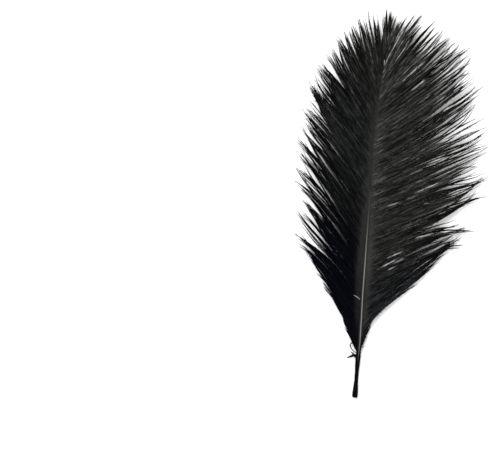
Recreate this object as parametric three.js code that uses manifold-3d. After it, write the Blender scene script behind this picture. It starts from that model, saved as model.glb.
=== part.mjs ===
// An ostrich feather, dyed black, lying face up on a flat surface.
// It grew in one piece, so it is one closed solid: a quill that runs on as a tapering shaft, and the
// soft barbs of its two vanes, gathered into locks that lie side by side near the shaft and part at
// their ends. Millimetres, +Z up, +Y from the quill's cut end to the tip. The origin is the middle of
// the feather's box, at the level of the surface that it lies on.
import * as THREE from "three";
import { mergeVertices } from "three/addons/utils/BufferGeometryUtils.js";
import Module from "manifold-3d";

const wasm = await Module();
wasm.setup();

const { lerp, mapLinear, degToRad } = THREE.MathUtils;

// The shaft. Every "distance" is measured along +Y from the quill's cut end.
const SHAFT_LENGTH = 243;
const SHAFT_SIDES = 12;
const SHAFT_STEPS = 26;
// Above 1, the shaft's steps stand closer together in the quill, where its width changes most
const SHAFT_CROWDING = 1.7;
// [distance, sideways bow of the centre line]
const SHAFT_BOW = [
  [0, 0], [14, 0.05], [27, -0.1], [40, 0.2], [52, -0.1], [81, -1], [115, -1.5], [135, -1.7], [180, -2.7],
  [205, -2.1], [226, -0.9], [243, 0.5],
];
// [distance, half width]: the quill flares to its cut end, and the shaft tapers to the tip
const SHAFT_HALF_WIDTH = [
  [0, 1.7], [1, 1.95], [4, 2], [9, 1.6], [14, 1.38], [20, 1.5], [27, 1.85], [34, 1.7],
  [60, 1.1], [120, 0.8], [180, 0.55], [243, 0.3],
];
// [distance, height of the underside]: the quill lies flat, and the rest arches over the surface
const SHAFT_UNDERSIDE = [[0, 0], [28, 0], [60, 2.2], [100, 5.4], [150, 7.2], [200, 6.4], [243, 4.6]];

// The vanes
const LOCKS_A_SIDE = 36;
const FIRST_LOCK = 33;
const LAST_LOCK = 242;
// Above 1, locks stand closer together towards the tip
const LOCK_CROWDING = 1.15;
const LOCK_STEPS = 5;
// [distance of the root, degrees from the shaft, length, degrees that the barb turns outwards]
const RIGHT_BARBS = [
  [31, 18, 14, 8], [38, 23, 21, 8], [44, 31, 24, 8], [48, 40, 42, 4], [51, 45, 61, -1], [60, 50, 72, -4],
  [66, 52.5, 78, -4], [73, 55, 84, -3], [84, 59, 83, -1], [96, 62, 82, 3], [108, 62, 90, 2],
  [120, 62.5, 94, 2], [136, 62, 95, 0], [148, 61, 95, -3], [158, 58, 96, -6], [170, 54, 95, -11],
  [180, 51, 93, -13], [190, 48.5, 90, -12], [200, 47, 85, -7], [209, 44.5, 81, 0], [221, 37.5, 69, 8],
  [232, 24, 52, 10], [239, 12, 42, 11], [243, 4, 37, 11],
];
const LEFT_BARBS = [
  [31, 32, 20, 6], [34, 31, 34, 6], [38, 36, 42, 6], [44, 41, 54, 7], [52, 43, 68, 7], [61, 44, 76, 8],
  [77, 43.5, 83, 8], [90, 42, 86, 9], [101, 40, 90, 11], [122, 38.5, 95, 14], [144, 39, 92, 10],
  [164, 39, 86, 4], [185, 38, 76, -4], [202, 33.5, 68, -7], [216, 26, 60, -4], [228, 15.5, 50, 3],
  [236, 5, 44, 6], [243, -3, 37, 7],
];
// Where a vane has parted at its edge: [distance of the roots, degrees that the barbs below turn
// outwards, degrees that those above turn inwards]. Roots this far from a parting turn less, and the
// turn starts at this share of a barb's length.
const RIGHT_PARTINGS = [[102, 26, 12], [148, 4, 4], [190, 4, 4]];
const LEFT_PARTINGS = [[70, 5, 5], [148, 5, 5]];
const PARTING_REACH = 8;
const PARTING_FROM = 0.55;

// A lock's form: how far it reaches over its neighbours, its half sizes, and shares of its length
const LOCK_OVERLAP = 0.8;
const LOCK_HALF_THICKNESS = 1.4;
const LOCK_THICKEST_AT = 0.2;
const LOCK_TIP_HALF_THICKNESS = 0.35;
const LOCK_TIP_HALF_WIDTH = 0.45;
const LOCK_NARROWS_FROM = 0.45;
// A root is this share of the shaft's thickness, so that the shaft's back stays clear
const LOCK_ROOT_THICKNESS = 0.7;
// A lock's middle arches up by this share of its length, and its end sinks with this power of the share
const LOCK_ARCH = 0.03;
const LOCK_SINK = 1.7;
// In turn, lock ends lie at these heights, the lowest on the surface, and locks are this long
const END_HEIGHTS = [LOCK_TIP_HALF_THICKNESS, 1.4, LOCK_TIP_HALF_THICKNESS, 2];
const LENGTH_SHARES = [1, 0.95, 0.99, 0.92, 0.97];

// The value that a table gives at a distance, with its steps rounded off a little.
function along(table, distance, column = 1) {
  const last = table.length - 1;
  if (distance <= table[0][0]) return table[0][column];
  if (distance >= table[last][0]) return table[last][column];
  const next = table.findIndex((row) => row[0] > distance);
  const [low, high] = [table[next - 1], table[next]];
  const share = (distance - low[0]) / (high[0] - low[0]);
  const smooth = THREE.MathUtils.smoothstep(share, 0, 1);
  return lerp(low[column], high[column], (share + smooth) / 2);
}

const bow = (distance) => along(SHAFT_BOW, distance);
const halfWidth = (distance) => along(SHAFT_HALF_WIDTH, distance);
const underside = (distance) => along(SHAFT_UNDERSIDE, distance);

// A manifold-3d solid from a closed three.js geometry.
function solid(geometry) {
  geometry.deleteAttribute("normal");
  geometry.deleteAttribute("uv");
  const merged = mergeVertices(geometry);
  return new wasm.Manifold(
    new wasm.Mesh({
      numProp: 3,
      vertProperties: merged.attributes.position.array,
      triVerts: new Uint32Array(merged.index.array),
    }),
  );
}

// A closed bar of which each point is moved by place(share of the length, across, up, point).
function bar(sides, steps, turn, place) {
  const geometry = new THREE.CylinderGeometry(1, 1, 1, sides, steps, false, turn);
  const position = geometry.attributes.position;
  const point = new THREE.Vector3();
  for (let i = 0; i < position.count; i++) {
    point.fromBufferAttribute(position, i);
    place(point.y + 0.5, point.x, point.z, point);
    position.setXYZ(i, point.x, point.y, point.z);
  }
  return solid(geometry);
}

// Quill and shaft in one bar. Its lowest facet is level along the quill, where it lies on the surface.
function shaft() {
  const halfSide = Math.PI / SHAFT_SIDES;
  const facet = Math.cos(halfSide);
  return bar(SHAFT_SIDES, SHAFT_STEPS, halfSide, (share, across, up, point) => {
    const distance = SHAFT_LENGTH * share ** SHAFT_CROWDING;
    const half = halfWidth(distance);
    point.set(
      bow(distance) + (across / facet) * half,
      distance,
      underside(distance) + half + (up / facet) * half,
    );
  });
}

// How far the partings of a vane turn a barb, in radians.
function partingTurn(partings, distance) {
  const degrees = partings.reduce((sum, [at, outwards, inwards]) => {
    const from = distance - at;
    return sum + (from < 0 ? outwards : -inwards) * Math.exp(-Math.abs(from) / PARTING_REACH);
  }, 0);
  return degToRad(degrees);
}

// The place of a barb and the direction across it, at a share of its length, seen from above.
function onBarb(barbs, side, distance, share, turn = 0, lengthShare = 1) {
  const length = along(barbs, distance, 2) * lengthShare;
  const bend = degToRad(along(barbs, distance, 3));
  const start = degToRad(along(barbs, distance, 1)) - bend / 2;
  // The chord of an arc that leaves the root at the start angle
  const onArc = (part) => {
    const half = (bend * part) / 2;
    const chord = length * part * (half === 0 ? 1 : Math.sin(half) / half);
    return new THREE.Vector2(Math.sin(start + half), Math.cos(start + half)).multiplyScalar(chord);
  };
  const turned = share > PARTING_FROM ? turn : 0;
  const point = onArc(share).rotateAround(onArc(PARTING_FROM), -turned);
  const angle = start + bend * share + turned;
  return {
    x: bow(distance) + side * point.x,
    y: distance + point.y,
    acrossX: Math.cos(angle),
    acrossY: -side * Math.sin(angle),
  };
}

// Where a lock's root is along the shaft. Halves give the places between two locks.
function rootOf(index) {
  const left = THREE.MathUtils.clamp(1 - index / (LOCKS_A_SIDE - 1), 0, 1);
  return lerp(FIRST_LOCK, LAST_LOCK, 1 - left ** LOCK_CROWDING);
}

// One lock: a flat tapering blade with a ridge on both faces, on an arc that turns outwards. Where it
// is widest it reaches over its neighbours, so that the locks join into a closed vane.
function lock(side, index) {
  const [barbs, partings] = side > 0 ? [RIGHT_BARBS, RIGHT_PARTINGS] : [LEFT_BARBS, LEFT_PARTINGS];
  const distance = rootOf(index);
  const turn = partingTurn(partings, distance);
  const lengthShare = LENGTH_SHARES[index % LENGTH_SHARES.length];
  const arch = LOCK_ARCH * along(barbs, distance, 2);
  const rootThick = LOCK_ROOT_THICKNESS * halfWidth(distance);
  const rootHeight = underside(distance) + halfWidth(distance);
  const endHeight = END_HEIGHTS[index % END_HEIGHTS.length];
  return bar(4, LOCK_STEPS, 0, (share, across, up, point) => {
    const at = onBarb(barbs, side, distance, share, turn, lengthShare);
    const below = onBarb(barbs, side, rootOf(index - 0.5), share);
    const above = onBarb(barbs, side, rootOf(index + 0.5), share);
    const apart = Math.abs((above.x - below.x) * at.acrossX + (above.y - below.y) * at.acrossY);
    const narrowing = Math.max(0, mapLinear(share, LOCK_NARROWS_FROM, 1, 0, 1));
    const half = LOCK_TIP_HALF_WIDTH + LOCK_OVERLAP * apart * (1 - narrowing);
    const thick =
      share < LOCK_THICKEST_AT
        ? mapLinear(share, 0, LOCK_THICKEST_AT, rootThick, LOCK_HALF_THICKNESS)
        : mapLinear(share, LOCK_THICKEST_AT, 1, LOCK_HALF_THICKNESS, LOCK_TIP_HALF_THICKNESS);
    const height = lerp(rootHeight, endHeight, share ** LOCK_SINK) + arch * Math.sin(Math.PI * share);
    point.set(at.x + across * half * at.acrossX, at.y + across * half * at.acrossY, height + up * thick);
  });
}

// A solid's outer surface alone, which fills the pinholes that are sealed between locks.
function withoutHollows(whole) {
  return whole.decompose().reduce((largest, part) => (part.volume() > largest.volume() ? part : largest));
}

// All of it joined into one solid, as a geometry whose box has its middle over the origin.
function feather() {
  const pieces = [shaft()];
  for (const side of [-1, 1])
    for (let index = 0; index < LOCKS_A_SIDE; index++) pieces.push(lock(side, index));
  const joined = withoutHollows(wasm.Manifold.union(pieces)).getMesh();
  const geometry = new THREE.BufferGeometry();
  geometry.setAttribute("position", new THREE.BufferAttribute(joined.vertProperties, joined.numProp));
  geometry.setIndex(new THREE.BufferAttribute(joined.triVerts, 1));
  geometry.computeBoundingBox();
  const middle = geometry.boundingBox.getCenter(new THREE.Vector3());
  geometry.translate(-middle.x, -middle.y, 0);
  return geometry;
}

const dyedBlack = new THREE.MeshStandardMaterial({
  color: 0x1a1b1b,
  roughness: 0.62,
  metalness: 0,
  flatShading: true,
});
const featherMesh = new THREE.Mesh(feather(), dyedBlack);
featherMesh.name = "feather";

const group = new THREE.Group();
group.add(featherMesh);
export default group;
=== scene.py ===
"""An ostrich feather, dyed black, lying face up on a pale floor.

The feather is a quill that runs on as a tapering shaft, and two vanes of soft barbs. Each barb is a flat
tapering ribbon fringed with fine barbules. Near the shaft the barbs lie close in a smooth band, further out
they gather into strands, and the strands part at the feather's edge.

Tables are in millimetres, measured from the middle of the quill's cut end: +Y runs to the tip and +X across
the vanes. The scene is in metres, in the frame of the loaded model.
"""

import math
from types import SimpleNamespace

import bmesh
import bpy
import numpy as np
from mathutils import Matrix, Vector


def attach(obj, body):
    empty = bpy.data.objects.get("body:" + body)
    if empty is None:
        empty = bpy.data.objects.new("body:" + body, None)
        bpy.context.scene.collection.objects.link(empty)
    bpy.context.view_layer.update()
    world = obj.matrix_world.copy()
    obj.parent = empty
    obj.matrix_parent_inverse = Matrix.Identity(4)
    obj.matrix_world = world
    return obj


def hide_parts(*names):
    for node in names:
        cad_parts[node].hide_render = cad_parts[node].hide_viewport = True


bl_info = {
    "name": "Ostrich Feather",
    "version": (1, 0, 0),
    "blender": (4, 5, 0),
    "location": "3D View > Sidebar > Feather",
    "description": "Builds a dyed ostrich feather with its shaft, vanes and stray barbs",
    "category": "Add Mesh",
}

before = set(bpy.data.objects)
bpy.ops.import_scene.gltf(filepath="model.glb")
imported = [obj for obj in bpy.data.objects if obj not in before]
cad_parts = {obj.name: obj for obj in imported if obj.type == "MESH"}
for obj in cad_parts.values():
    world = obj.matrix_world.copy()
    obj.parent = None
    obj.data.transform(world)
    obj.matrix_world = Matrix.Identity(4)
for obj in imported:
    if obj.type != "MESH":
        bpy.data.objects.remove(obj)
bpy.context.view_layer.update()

MM = 0.001
FEATHER = "feather"


def cut_end_middle():
    """The middle of the quill's cut end in the frame, in millimetres."""
    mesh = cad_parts[FEATHER].data
    points = np.empty(len(mesh.vertices) * 3)
    mesh.vertices.foreach_get("co", points)
    points = points.reshape(-1, 3) / MM
    lowest = points[:, 1].min()
    rim = points[points[:, 1] < lowest + 0.1]
    return np.array([(rim[:, 0].min() + rim[:, 0].max()) / 2, lowest, 0.0])


CUT_END = cut_end_middle()

# The shaft: [distance from the cut end, sideways bow], [distance, half width], [distance, underside height]
SHAFT_LENGTH = 243
SHAFT_BOW = [
    [0, 0], [14, 0.05], [27, -0.1], [40, 0.2], [52, -0.1], [81, -1], [115, -1.5], [135, -1.7], [180, -2.7],
    [205, -2.1], [226, -0.9], [243, 0.5],
]
SHAFT_HALF_WIDTH = [
    [0, 1.7], [1, 1.95], [4, 2], [9, 1.6], [14, 1.38], [20, 1.5], [27, 1.85], [34, 1.7],
    [60, 1.1], [120, 0.8], [180, 0.55], [243, 0.25],
]
SHAFT_UNDERSIDE = [[0, 0], [28, 0], [60, 2.2], [100, 5.4], [150, 7.2], [200, 6.4], [243, 4.6]]

# The vanes: [distance of the root, degrees from the shaft, length, degrees that the barb turns outwards]
RIGHT_BARBS = [
    [31, 18, 14, 8], [38, 23, 21, 8], [44, 31, 24, 8], [48, 40, 42, 4], [51, 45, 61, -1], [60, 50, 72, -4],
    [66, 52.5, 78, -4], [73, 55, 84, -3], [84, 59, 83, -1], [96, 62, 82, 3], [108, 62, 90, 2],
    [120, 62.5, 94, 2], [136, 62, 95, 0], [148, 61, 95, -3], [158, 58, 96, -6], [170, 54, 95, -11],
    [180, 51, 93, -13], [190, 48.5, 90, -12], [200, 47, 85, -7], [209, 44.5, 81, 0], [221, 37.5, 69, 8],
    [232, 24, 52, 10], [239, 12, 42, 11], [243, 4, 37, 11],
]
LEFT_BARBS = [
    [31, 32, 20, 6], [34, 31, 34, 6], [38, 36, 42, 6], [44, 41, 54, 7], [52, 43, 68, 7], [61, 44, 76, 8],
    [77, 43.5, 83, 8], [90, 42, 86, 9], [101, 40, 90, 11], [122, 38.5, 95, 14], [144, 39, 92, 10],
    [164, 39, 86, 4], [185, 38, 76, -4], [202, 33.5, 68, -7], [216, 26, 60, -4], [228, 15.5, 50, 3],
    [236, 5, 44, 6], [243, -3, 37, 7],
]
FIRST_BARB = 31
LAST_BARB = 242.5
BARB_CROWDING = 1.15
BARB_STEPS = 22
# Barbules start at this share of a barb's length and stand on this share of it
BARBULES_FROM = 0.03
BARBULE_SHARE = 0.87
# Where a vane has parted at its edge: [distance of the roots, degrees that the barbs below turn outwards,
# degrees that those above turn inwards, share of their length where the turn starts]
RIGHT_PARTINGS = [[102, 34, 14, 0.42], [148, 5, 4, 0.5], [190, 5, 4, 0.4]]
LEFT_PARTINGS = [[70, 5, 5, 0.5], [148, 5, 5, 0.5]]
PARTING_REACH = 8
# Barbs wander off in locks of about this many a side, and this share of them stays out of the strands
LOCKS_A_SIDE = 26
LOOSE_BARBS = 0.25
# Slits that show the floor: [distance of the roots, share from, share to, width]
RIGHT_SLITS = [
    [86, 0.82, 1.0, 1.2], [92, 0.78, 1.0, 1.4], [97, 0.74, 1.0, 1.6], [121, 0.64, 0.82, 2.0],
    [128, 0.57, 0.9, 3.0], [132.5, 0.7, 0.95, 2.6], [147, 0.56, 0.95, 2.8], [158, 0.64, 0.92, 3.2],
    [164, 0.5, 0.75, 2.2], [169, 0.53, 0.74, 2.4], [178.5, 0.73, 0.88, 2.0], [184.5, 0.74, 0.9, 2.2],
    [195, 0.66, 0.92, 1.6], [202, 0.6, 0.84, 2.2], [217, 0.58, 0.8, 1.6], [226.5, 0.58, 0.78, 1.2],
]
LEFT_SLITS = [[112, 0.7, 0.85, 1.0], [170, 0.68, 0.85, 1.2], [233, 0.5, 1.0, 2.2]]
SLIT_REACH = 3
# A slit opens over this share of a barb, and one that ends beyond OPEN_END runs out to the vane's edge
SLIT_OPENS = 0.12
OPEN_END = 0.87
# The barbs beside a slit lose up to this share of their fringe, less so further off
SLIT_BARENESS = 0.9
BARE_REACH = 1.5
# Stretches of single barbs painted lighter as highlights where they catch the light: [distance of the root,
# share from, share to, tone]
RIGHT_HIGHLIGHTS = [
    [80.3, 0.46, 0.57, 12], [83.4, 0.24, 0.32, 15], [86.8, 0.35, 0.45, 12], [88, 0.2, 0.37, 17],
    [94, 0.24, 0.39, 14], [96.5, 0.78, 0.86, 26], [97.3, 0.68, 0.78, 28], [99, 0.48, 0.61, 26],
    [118, 0.5, 0.58, 18], [122.4, 0.49, 0.55, 14], [131.3, 0.31, 0.38, 13], [132.6, 0.17, 0.28, 12],
    [134.5, 0.38, 0.56, 24], [144.7, 0.04, 0.12, 6], [149, 0.38, 0.47, 18], [150.5, 0.48, 0.6, 22],
    [159.5, 0.53, 0.68, 20], [177, 0.59, 0.75, 18], [184, 0.54, 0.62, 16], [187, 0.5, 0.66, 18],
    [191, 0.43, 0.54, 5], [193.5, 0.55, 0.65, 6], [201.6, 0.43, 0.59, 22], [206.5, 0.55, 0.74, 4],
    [211.2, 0.36, 0.58, 16], [212, 0.33, 0.61, 22], [226, 0.34, 0.62, 10], [233, 0.36, 0.67, 14],
]
LEFT_HIGHLIGHTS = [
    [92, 0.3, 0.5, 1.2], [97, 0.35, 0.6, 1.2], [104, 0.3, 0.5, 1.0], [150, 0.3, 0.45, 1.0],
    [222, 0.3, 0.7, 5],
]
# A painted highlight is this much narrower than the barb and lies this high on the others, and the lower
# this power is, the more suddenly it starts and ends
HIGHLIGHT_NARROWER = 0.4
HIGHLIGHT_RISE = 0.9
HIGHLIGHT_ROUNDING = 0.6
# How far from the shaft the barbs stay thin and smooth: [distance of the root, right, left]
BAND_WIDTHS = [
    [31, 2.5, 2.5], [50, 4.5, 5.5], [90, 4.6, 6.2], [120, 3.8, 4.8], [150, 2.9, 3.0], [180, 2.4, 2.4],
    [243, 1.4, 1.4],
]

# The two vanes. Each has its tables and the numbers in which it differs from the other:
# seed_step      what it adds to the seed
# cut_back       how much shorter its barbs are beyond its foot, as a share
# wave           how far its barbs wave, in degrees
# looser         how much less its strands draw together beyond its foot
# upper_wider    how much wider its upper barbs are in their outer half
# band_column    its column in BAND_WIDTHS
# band_strength  how clearly the smooth band beside the shaft shows
# tone           how light its fibre is at its foot, and how much lighter beyond tone_over; the darker foot,
#                most on the left vane, is partly its own tone and partly painted shade
# root_light     how much the roots of single barbs catch the light
# end_fade       how much darker the ends of its barbs are
VANES = [
    SimpleNamespace(
        name="left", side=-1, seed_step=45,
        barbs=LEFT_BARBS, partings=LEFT_PARTINGS, slits=LEFT_SLITS, pale=LEFT_HIGHLIGHTS,
        cut_back=0.09, wave=4.5, looser=0.25, upper_wider=0.0, band_column=2, band_strength=0.53,
        tone=(0.05, 0.58), tone_over=(85, 170), root_light=0.12, end_fade=0.65,
    ),
    SimpleNamespace(
        name="right", side=1, seed_step=38,
        barbs=RIGHT_BARBS, partings=RIGHT_PARTINGS, slits=RIGHT_SLITS, pale=RIGHT_HIGHLIGHTS,
        cut_back=0.0, wave=4, looser=0.0, upper_wider=0.12, band_column=1, band_strength=1.0,
        tone=(0.6, 0.6), tone_over=(60, 120), root_light=0.5, end_fade=0.4,
    ),
]
# Each vane is made in these pieces, from the share of its barbs where the piece starts
VANE_PIECES = [("lower", 0.0), ("middle", 0.3), ("upper", 0.58), ("tip", 0.82)]


def along(table, distance, column=1):
    """The values that a table gives at distances, with its steps rounded off a little."""
    rows = np.array(table, dtype=float)
    at = np.clip(np.asarray(distance, dtype=float), rows[0, 0], rows[-1, 0])
    low = np.clip(np.searchsorted(rows[:, 0], at, side="right") - 1, 0, len(rows) - 2)
    share = (at - rows[low, 0]) / (rows[low + 1, 0] - rows[low, 0])
    mix = (share + ramp(share, 0, 1)) / 2
    return rows[low, column] + (rows[low + 1, column] - rows[low, column]) * mix


def ramp(value, start, end):
    """0 before start, 1 after end, and a smooth step between them."""
    share = np.clip((np.asarray(value, dtype=float) - start) / (end - start), 0, 1)
    return share * share * (3 - 2 * share)


class FeatherSizes(bpy.types.PropertyGroup):
    """The counts and sizes of the feather's small parts."""

    barbs_a_side: bpy.props.IntProperty(
        name="Barbs a side", description="How many barbs each vane has", default=300, min=20, max=400
    )
    barb_width: bpy.props.FloatProperty(
        name="Barb width", description="Width of a barb with its fluff, at its widest",
        default=1.25 * MM, unit="LENGTH",
    )
    band_width: bpy.props.FloatProperty(
        name="Band width", description="Scales the smooth band of barb roots beside the shaft", default=1.0
    )
    barbule_length: bpy.props.FloatProperty(
        name="Barbule length", description="Length of a barbule in the middle of a barb",
        default=2.5 * MM, unit="LENGTH",
    )
    barbule_spacing: bpy.props.FloatProperty(
        name="Barbule spacing", description="Distance between barbules along one side of a barb",
        default=1.3 * MM, unit="LENGTH",
    )
    seed: bpy.props.IntProperty(name="Seed", description="Start of the random numbers", default=7)


class FeatherColours(bpy.types.PropertyGroup):
    """The colours of the feather and of the floor."""

    barbs: bpy.props.FloatVectorProperty(
        name="Barbs", description="Dyed barbs and barbules where they catch the light", subtype="COLOR",
        size=3, default=(0.0205, 0.0205, 0.0199),
    )
    shadow: bpy.props.FloatVectorProperty(
        name="Shadow", description="The least colour that the barbs have", subtype="COLOR", size=3,
        default=(0.0015, 0.0015, 0.0005),
    )
    # The barbs' colour where they are a little blue, most at the foot of the vanes
    cold_barbs: bpy.props.FloatVectorProperty(
        name="Cold barbs", description="The barbs' colour where the dye looks a little blue",
        subtype="COLOR", size=3, default=(0.0194, 0.0205, 0.0204),
    )
    # Their least colour there
    cold_shadow: bpy.props.FloatVectorProperty(
        name="Cold shadow", description="Their least colour where the dye looks a little blue",
        subtype="COLOR", size=3, default=(0.0011, 0.0013, 0.0028),
    )
    band: bpy.props.FloatVectorProperty(
        name="Band", description="The smooth band of barb roots beside the shaft", subtype="COLOR", size=3,
        default=(0.0302, 0.0305, 0.028),
    )
    quill: bpy.props.FloatVectorProperty(
        name="Quill", description="Dyed horn of the quill", subtype="COLOR", size=3,
        default=(0.0012, 0.0012, 0.0012),
    )
    # Pale horn and painted highlight along the back of the shaft
    pale_back_and_highlight: bpy.props.FloatVectorProperty(
        name="Shaft back", description="Pale horn along the back of the shaft", subtype="COLOR", size=3,
        default=(0.262, 0.264, 0.259),
    )
    floor: bpy.props.FloatVectorProperty(
        name="Floor", description="The floor under the feather", subtype="COLOR", size=3,
        default=(0.9, 0.9, 0.9),
    )


class Socket:
    """A node's output socket that takes part in Python sums, each of which adds a Math node."""

    def __init__(self, shader, socket):
        self.shader = shader
        self.socket = socket

    def math(self, operation, *others):
        return self.shader.node("ShaderNodeMath", {"operation": operation}, [self, *others])

    def __add__(self, other):
        return self.math("ADD", other)

    def __sub__(self, other):
        return self.math("SUBTRACT", other)

    def __mul__(self, other):
        return self.math("MULTIPLY", other)

    def __rsub__(self, other):
        return self.shader.node("ShaderNodeMath", {"operation": "SUBTRACT"}, [other, self])

    __radd__ = __add__
    __rmul__ = __mul__


class Shader:
    """A new material and the nodes that make it."""

    def __init__(self, name):
        self.material = bpy.data.materials.new(name)
        self.material.use_nodes = True
        self.tree = self.material.node_tree
        self.surface = self.tree.nodes["Principled BSDF"]

    def node(self, kind, settings=None, inputs=None, output=0):
        """Adds a node of a kind with its settings, then values or links for its inputs."""
        made = self.tree.nodes.new(kind)
        for setting, value in (settings or {}).items():
            setattr(made, setting, value)
        pairs = inputs.items() if isinstance(inputs, dict) else enumerate(inputs or [])
        for key, value in pairs:
            self.feed(made.inputs[key], value)
        return Socket(self, made.outputs[output])

    def feed(self, socket, value):
        """Gives a socket a value, or a link where the value is a Socket."""
        if isinstance(value, Socket):
            self.tree.links.new(value.socket, socket)
        else:
            socket.default_value = value

    def set(self, **values):
        """Gives the shader's own sockets their values or links, by names with _ for a space."""
        for name, value in values.items():
            self.feed(self.surface.inputs[name.replace("_", " ")], value)

    def attribute(self, name):
        """A number that each point of the mesh carries."""
        made = self.node("ShaderNodeAttribute", {"attribute_name": name})
        return Socket(self, made.socket.node.outputs["Fac"])

    def noise(self, scale, detail=2.0, stretch=(1, 1, 1)):
        """Noise on the object's own coordinates, with cells of about 1 / scale metres."""
        coordinates = self.node("ShaderNodeTexCoord")
        place = Socket(self, coordinates.socket.node.outputs["Object"])
        stretched = self.node("ShaderNodeMapping", {}, {"Vector": place, "Scale": stretch})
        return self.node("ShaderNodeTexNoise", {}, {"Vector": stretched, "Scale": scale, "Detail": detail})

    def mix(self, share, first, second):
        """A colour between two others."""
        made = self.node("ShaderNodeMix", {"data_type": "RGBA"})
        node = made.socket.node
        self.feed(node.inputs[0], share)
        self.feed(node.inputs[6], first)
        self.feed(node.inputs[7], second)
        return Socket(self, node.outputs[2])

    def vector(self, operation, *vectors, **inputs):
        """A Vector Math node on colours or vectors."""
        made = self.node("ShaderNodeVectorMath", {"operation": operation}, list(vectors))
        for name, value in inputs.items():
            self.feed(made.socket.node.inputs[name], value)
        return made

    def bump(self, height, strength, distance):
        """A normal that follows a height, in metres of relief."""
        inputs = {"Height": height, "Strength": strength, "Distance": distance}
        return self.node("ShaderNodeBump", {}, inputs)


def opaque(colour):
    """A colour with its alpha."""
    return (*colour, 1.0)


# How strongly light streaks stand out on the fibre, what is taken off them, and the least that is left; the
# streaks are partly the fibre's own uneven tone and partly painted highlights
STREAK_CONTRAST = 3.4
STREAK_OFFSET = 1.0
STREAK_LEAST = 0.14
# How light the band beside the shaft is at its darkest, and how much its own streaks add
BAND_DARKEST = 0.72
BAND_STREAKS = 0.5
# The grain of each surface, in cells a metre, and how far it stands out, in metres
FIBRE_GRAIN = 2600
FIBRE_RELIEF = 0.06 * MM
HORN_GRAIN = 900
HORN_STRETCH = (1, 0.06, 1)
HORN_RELIEF = 0.05 * MM
CARD_GRAIN = 60


def barb_material(colours):
    """Dyed fibre: matt, with fine light streaks along the barbs on a nearly black ground, partly uneven
    tone and partly painted highlights.
    """
    shader = Shader("dyed_barb_fibre")
    tone = shader.attribute("tone")
    band = shader.attribute("band")
    cold = shader.attribute("cold")
    place = shader.node("ShaderNodeAttribute", {"attribute_name": "fibre"}, output=1)
    streaks = shader.node("ShaderNodeTexNoise", {}, {"Vector": place, "Scale": 1.0, "Detail": 3.0})
    fine = shader.noise(FIBRE_GRAIN)
    bright = (streaks * STREAK_CONTRAST - STREAK_OFFSET).math("MAXIMUM", STREAK_LEAST)
    lit_colour = shader.mix(cold, opaque(colours.barbs), opaque(colours.cold_barbs))
    shadow = shader.mix(cold, opaque(colours.shadow), opaque(colours.cold_shadow))
    lit = shader.vector("SCALE", lit_colour, Scale=tone * bright * (0.9 + fine * 0.2))
    fibre = shader.vector("ADD", lit, shadow)
    smooth = shader.vector("SCALE", colours.band, Scale=BAND_DARKEST + streaks * BAND_STREAKS)
    shader.set(
        Base_Color=shader.mix(band, fibre, smooth),
        Roughness=0.5 + fine * 0.2,
        Specular_IOR_Level=0.01,
        Normal=shader.bump(fine, 0.35, FIBRE_RELIEF),
    )
    return shader.material


def shaft_material(colours):
    """Horn: dyed black on the quill and on the sides, pale along the back, partly where the dye is thin and
    partly as a painted highlight.
    """
    shader = Shader("shaft_horn")
    pale = shader.attribute("pale")
    bare = shader.attribute("bare")
    streaks = shader.noise(HORN_GRAIN, 3.0, HORN_STRETCH)
    dye = shader.mix(bare, opaque(Vector(colours.band) * 0.8), opaque(colours.quill))
    back = shader.mix(streaks, opaque(Vector(colours.pale_back_and_highlight) * 0.75), opaque(colours.pale_back_and_highlight))
    shader.set(
        Base_Color=shader.mix(pale, dye, back),
        Roughness=0.34 + streaks * 0.18,
        Specular_IOR_Level=0.02,
        Normal=shader.bump(streaks, 0.3, HORN_RELIEF),
    )
    return shader.material


def floor_material(colours):
    """Pale card with a faint grain."""
    shader = Shader("floor_card")
    grain = shader.noise(CARD_GRAIN, 4.0)
    darker = opaque(Vector(colours.floor) * 0.99)
    shader.set(
        Base_Color=shader.mix(grain * 0.3, opaque(colours.floor), darker),
        Roughness=0.9,
        Specular_IOR_Level=0.1,
    )
    return shader.material


def in_frame(points):
    """Millimetres from the cut end to metres in the frame."""
    return (np.asarray(points, dtype=float) + CUT_END) * MM


def place_piece(mesh, material):
    """Makes a mesh a piece of the feather, in place of the plain solid."""
    mesh.materials.append(material)
    mesh.shade_smooth()
    piece = bpy.data.objects.new(mesh.name, mesh)
    bpy.context.scene.collection.objects.link(piece)
    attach(piece, "root")
    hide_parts(FEATHER)
    return piece


def add_numbers(mesh, name, values, kind="FLOAT", field="value"):
    """Stores a number or a vector at each of a mesh's points."""
    attribute = mesh.attributes.new(name, kind, "POINT")
    attribute.data.foreach_set(field, np.ascontiguousarray(values, dtype=np.float32).ravel())


SHAFT_SIDES = 28
SHAFT_STEPS = 110
SHAFT_CROWDING = 1.6
# The hollow in the cut end, and the groove along the underside of the shaft
HOLLOW_DEPTH = 2.4
HOLLOW_SHARE = 0.62
GROOVE_DEPTH = 0.28
GROOVE_WIDTH = 0.35
# Over these distances the bare round quill turns into the squarer shaft between the vanes
QUILL_TO_SHAFT = (26, 60)
SHAFT_SQUARENESS = 0.3
# The quill swells and narrows a little along its length
QUILL_SWELL = 0.03
QUILL_SWELL_RATE = 0.9
# The back is pale, partly thin dye and partly a painted highlight, over these distances, fading in over the
# first two and out over the last two
PALE_FROM = (22, 50)
PALE_TO = (88, 138)
# The pale line fades sideways over these distances from its middle, and lies this high on the shaft
PALE_LINE = (0.05, 0.4)
PALE_HEIGHT = (0.3, 0.8)
# In the shaft's first round bar, of radius 1: faces that point further down than this close the quill's
# end, and points nearer to the middle than this are the hollow's
END_FACING = -0.9
INSIDE_RIM = 0.99


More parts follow.
